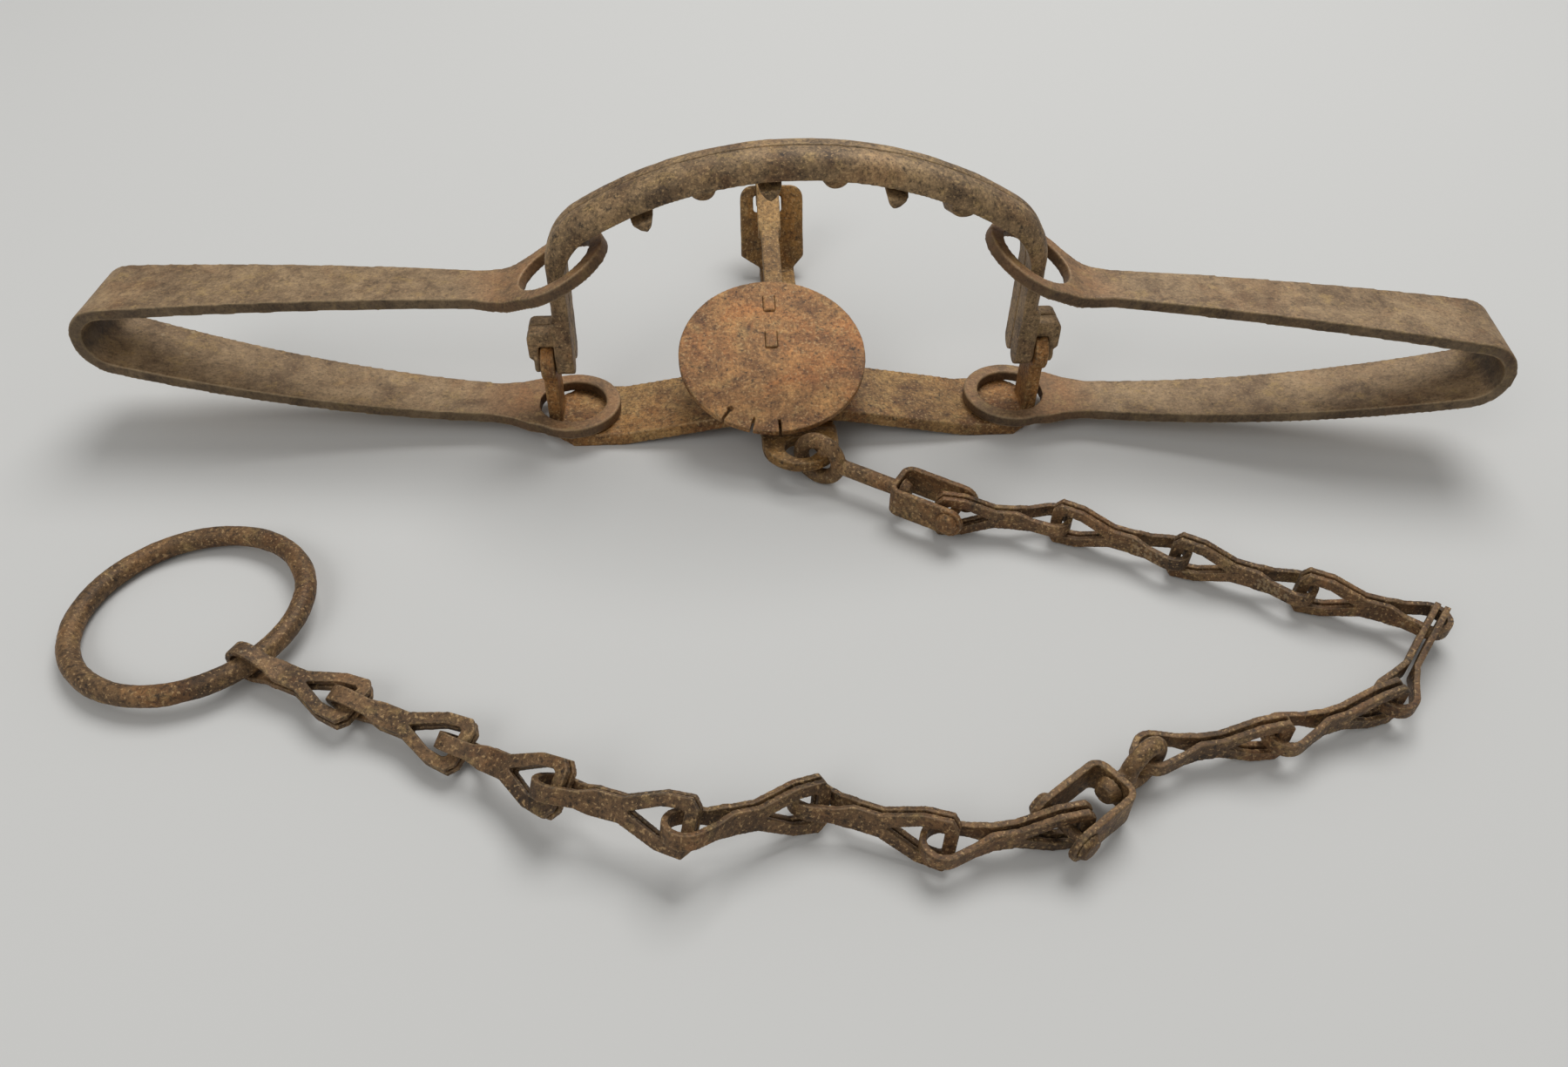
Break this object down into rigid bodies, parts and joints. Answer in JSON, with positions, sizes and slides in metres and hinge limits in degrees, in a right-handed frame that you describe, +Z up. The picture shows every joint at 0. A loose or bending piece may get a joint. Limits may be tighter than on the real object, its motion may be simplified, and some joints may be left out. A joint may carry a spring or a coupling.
{
  "type": "leghold trap",
  "caption": "Rusted long-spring leghold trap with toothed jaws, pan, dog, swivelled stamped chain and drag ring. It springs shut on a leg when the pan is trodden on.",
  "frame": {"origin": "middle of the whole footprint, on the floor", "axes": "+X along the springs to the right as the chain tab is faced, +Y towards the dog, +Z up"},
  "size_m": [0.4703, 0.3044, 0.102],
  "materials": {
    "base_iron": "rusted, pitted and worn",
    "cross_iron": "rusted, pitted and worn",
    "jaw_iron": "rusted, pitted and worn",
    "pan_iron": "rusted, pitted and worn",
    "spring_steel": "rusted, pitted and worn",
    "swivel_iron": "rusted, pitted and worn",
    "chain_iron": "rusted, pitted and worn"
  },
  "bodies": {
    "base": {"base_bar": "base_iron", "cross_bar": "cross_iron", "cross_rivets": "base_iron", "pan_post": "base_iron", "pan_pin": "base_iron"},
    "front_jaw": {"front_jaw": "jaw_iron", "front_jaw_teeth": "jaw_iron"},
    "rear_jaw": {"rear_jaw": "jaw_iron", "rear_jaw_teeth": "jaw_iron"},
    "left_spring": {"left_spring_lower": "spring_steel"},
    "left_spring_top": {"left_spring_upper": "spring_steel"},
    "right_spring": {"right_spring_lower": "spring_steel"},
    "right_spring_top": {"right_spring_upper": "spring_steel"},
    "pan": {"pan": "pan_iron", "pan_shank": "pan_iron"},
    "dog": {"dog": "cross_iron"},
    "trap_swivel_hook": {"trap_swivel_hook": "swivel_iron"},
    "trap_swivel_strap": {"trap_swivel_strap": "swivel_iron", "trap_swivel_rivet": "swivel_iron"},
    "middle_swivel_eye": {"middle_swivel_eye": "swivel_iron"},
    "middle_swivel_strap": {"middle_swivel_strap": "swivel_iron", "middle_swivel_rivet": "swivel_iron"},
    "drag_ring": {"drag_ring": "swivel_iron"},
    "chain_link_01": {"chain_link_01": "chain_iron"},
    "chain_link_02": {"chain_link_02": "chain_iron"},
    "chain_link_03": {"chain_link_03": "chain_iron"},
    "chain_link_04": {"chain_link_04": "chain_iron"},
    "chain_link_05": {"chain_link_05": "chain_iron"},
    "chain_link_06": {"chain_link_06": "chain_iron"},
    "chain_link_07": {"chain_link_07": "chain_iron"},
    "chain_link_08": {"chain_link_08": "chain_iron"},
    "chain_link_09": {"chain_link_09": "chain_iron"},
    "chain_link_10": {"chain_link_10": "chain_iron"},
    "chain_link_11": {"chain_link_11": "chain_iron"},
    "chain_link_12": {"chain_link_12": "chain_iron"},
    "chain_link_13": {"chain_link_13": "chain_iron"},
    "chain_link_14": {"chain_link_14": "chain_iron"}
  },
  "joints": [
    {"name": "front_jaw_swing", "type": "hinge", "parent": "base", "child": "front_jaw", "pos_m": [0, 0.03053, 0.029], "axis": [1, 0, 0], "range_deg": [0, 88], "deforming": ["left_spring_upper", "right_spring_upper"]},
    {"name": "rear_jaw_swing", "type": "hinge", "parent": "base", "child": "rear_jaw", "pos_m": [0, 0.03953, 0.029], "axis": [-1, 0, 0], "range_deg": [0, 88]},
    {"name": "left_spring_swing", "type": "hinge", "parent": "base", "child": "left_spring", "pos_m": [-0.07715, 0.03503, 0.007], "axis": [0, 0, 1], "range_deg": [-25, 25]},
    {"name": "right_spring_swing", "type": "hinge", "parent": "base", "child": "right_spring", "pos_m": [0.07715, 0.03503, 0.007], "axis": [0, 0, 1], "range_deg": [-25, 25]},
    {"name": "left_spring_flex", "type": "hinge", "parent": "left_spring", "child": "left_spring_top", "pos_m": [-0.23017, 0.04842, 0.03769], "axis": [0.0872, 0.9962, 0], "range_deg": [0, 16], "stiffness_Nm_per_rad": 6, "springref_deg": -17.19},
    {"name": "right_spring_flex", "type": "hinge", "parent": "right_spring", "child": "right_spring_top", "pos_m": [0.22865, 0.00968, 0.03769], "axis": [-0.165, -0.9863, 0], "range_deg": [0, 16], "stiffness_Nm_per_rad": 6, "springref_deg": -17.19},
    {"name": "pan_tilt", "type": "hinge", "parent": "base", "child": "pan", "pos_m": [-0.008, 0.05403, 0.016], "axis": [1, 0, 0], "range_deg": [-20, 0]},
    {"name": "dog_swing", "type": "hinge", "parent": "base", "child": "dog", "pos_m": [-0.0035, 0.14602, 0.03114], "axis": [1, 0, 0], "range_deg": [-110, 0]},
    {"name": "trap_swivel_swing", "type": "hinge", "parent": "base", "child": "trap_swivel_hook", "pos_m": [0, 0.00328, 0.0096], "axis": [0, 0, 1], "range_deg": [-10, 10]},
    {"name": "trap_swivel_turn", "type": "hinge", "parent": "trap_swivel_hook", "child": "trap_swivel_strap", "pos_m": [0, 0.00328, 0.0096], "axis": [0.829, -0.5592, 0], "range_deg": [-30, 30]},
    {"name": "link_01_turn", "type": "hinge", "parent": "trap_swivel_strap", "child": "chain_link_01", "pos_m": [0.04643, -0.02804, 0.0096], "axis": [0.5592, 0.829, 0], "range_deg": [-20, 20]},
    {"name": "link_02_turn", "type": "hinge", "parent": "chain_link_01", "child": "chain_link_02", "pos_m": [0.07812, -0.03249, 0.00805], "axis": [0, 0, 1], "range_deg": [-8, 25]},
    {"name": "link_03_turn", "type": "hinge", "parent": "chain_link_02", "child": "chain_link_03", "pos_m": [0.11108, -0.04929, 0.00805], "axis": [0, 0, -1], "range_deg": [-25, 8]},
    {"name": "link_04_turn", "type": "hinge", "parent": "chain_link_03", "child": "chain_link_04", "pos_m": [0.14405, -0.06608, 0.00805], "axis": [0, 0, 1], "range_deg": [-8, 25]},
    {"name": "link_05_turn", "type": "hinge", "parent": "chain_link_04", "child": "chain_link_05", "pos_m": [0.17785, -0.08113, 0.00805], "axis": [0, 0, -1], "range_deg": [-25, 8]},
    {"name": "link_06_turn", "type": "hinge", "parent": "chain_link_05", "child": "chain_link_06", "pos_m": [0.15309, -0.10863, 0.00805], "axis": [0, 0, 1], "range_deg": [-8, 25]},
    {"name": "link_07_turn", "type": "hinge", "parent": "chain_link_06", "child": "chain_link_07", "pos_m": [0.11753, -0.11883, 0.00805], "axis": [0, 0, -1], "range_deg": [-25, 8]},
    {"name": "middle_swivel_swing", "type": "hinge", "parent": "chain_link_07", "child": "middle_swivel_eye", "pos_m": [0.08282, -0.12248, 0.0084], "axis": [0, 0, 1], "range_deg": [-8, 20]},
    {"name": "middle_swivel_turn", "type": "hinge", "parent": "middle_swivel_eye", "child": "middle_swivel_strap", "pos_m": [0.08282, -0.12248, 0.0084], "axis": [-0.8192, -0.5736, 0], "continuous": true},
    {"name": "link_08_turn", "type": "hinge", "parent": "middle_swivel_strap", "child": "chain_link_08", "pos_m": [0.05333, -0.14313, 0.0084], "axis": [0.5736, -0.8192, 0], "range_deg": [-20, 20]},
    {"name": "link_09_turn", "type": "hinge", "parent": "chain_link_08", "child": "chain_link_09", "pos_m": [0.02449, -0.14616, 0.00805], "axis": [-0.1267, -0.2927, -0.9478], "range_deg": [-20, 20]},
    {"name": "link_10_turn", "type": "hinge", "parent": "chain_link_09", "child": "chain_link_10", "pos_m": [-0.00598, -0.13297, 0.00805], "axis": [0.1059, 0.3461, 0.9322], "range_deg": [-20, 20]},
    {"name": "link_11_turn", "type": "hinge", "parent": "chain_link_10", "child": "chain_link_11", "pos_m": [-0.03797, -0.14322, 0.01549], "axis": [-0.2161, -0.5963, -0.7731], "range_deg": [-20, 20]},
    {"name": "link_12_turn", "type": "hinge", "parent": "chain_link_11", "child": "chain_link_12", "pos_m": [-0.06972, -0.13005, 0.01421], "axis": [0.3834, 0.742, 0.55], "range_deg": [-20, 20]},
    {"name": "link_13_turn", "type": "hinge", "parent": "chain_link_12", "child": "chain_link_13", "pos_m": [-0.09692, -0.1104, 0.00665], "axis": [-0.4438, -0.856, -0.265], "range_deg": [-20, 20]},
    {"name": "link_14_turn", "type": "hinge", "parent": "chain_link_13", "child": "chain_link_14", "pos_m": [-0.12709, -0.09472, 0.00653], "axis": [0.4566, 0.8897, -0.0005], "range_deg": [-20, 20]},
    {"name": "drag_ring_flip", "type": "hinge", "parent": "chain_link_14", "child": "drag_ring", "pos_m": [-0.15858, -0.07856, 0.00706], "axis": [0.4566, 0.8897, -0.0005], "range_deg": [0, 130]}
  ],
  "couplings": [
    {"joint": "rear_jaw_swing", "follows": "front_jaw_swing", "ratio": 1},
    {"joint": "left_spring_flex", "follows": "front_jaw_swing", "ratio": 0.18182},
    {"joint": "right_spring_flex", "follows": "front_jaw_swing", "ratio": 0.18182}
  ]
}
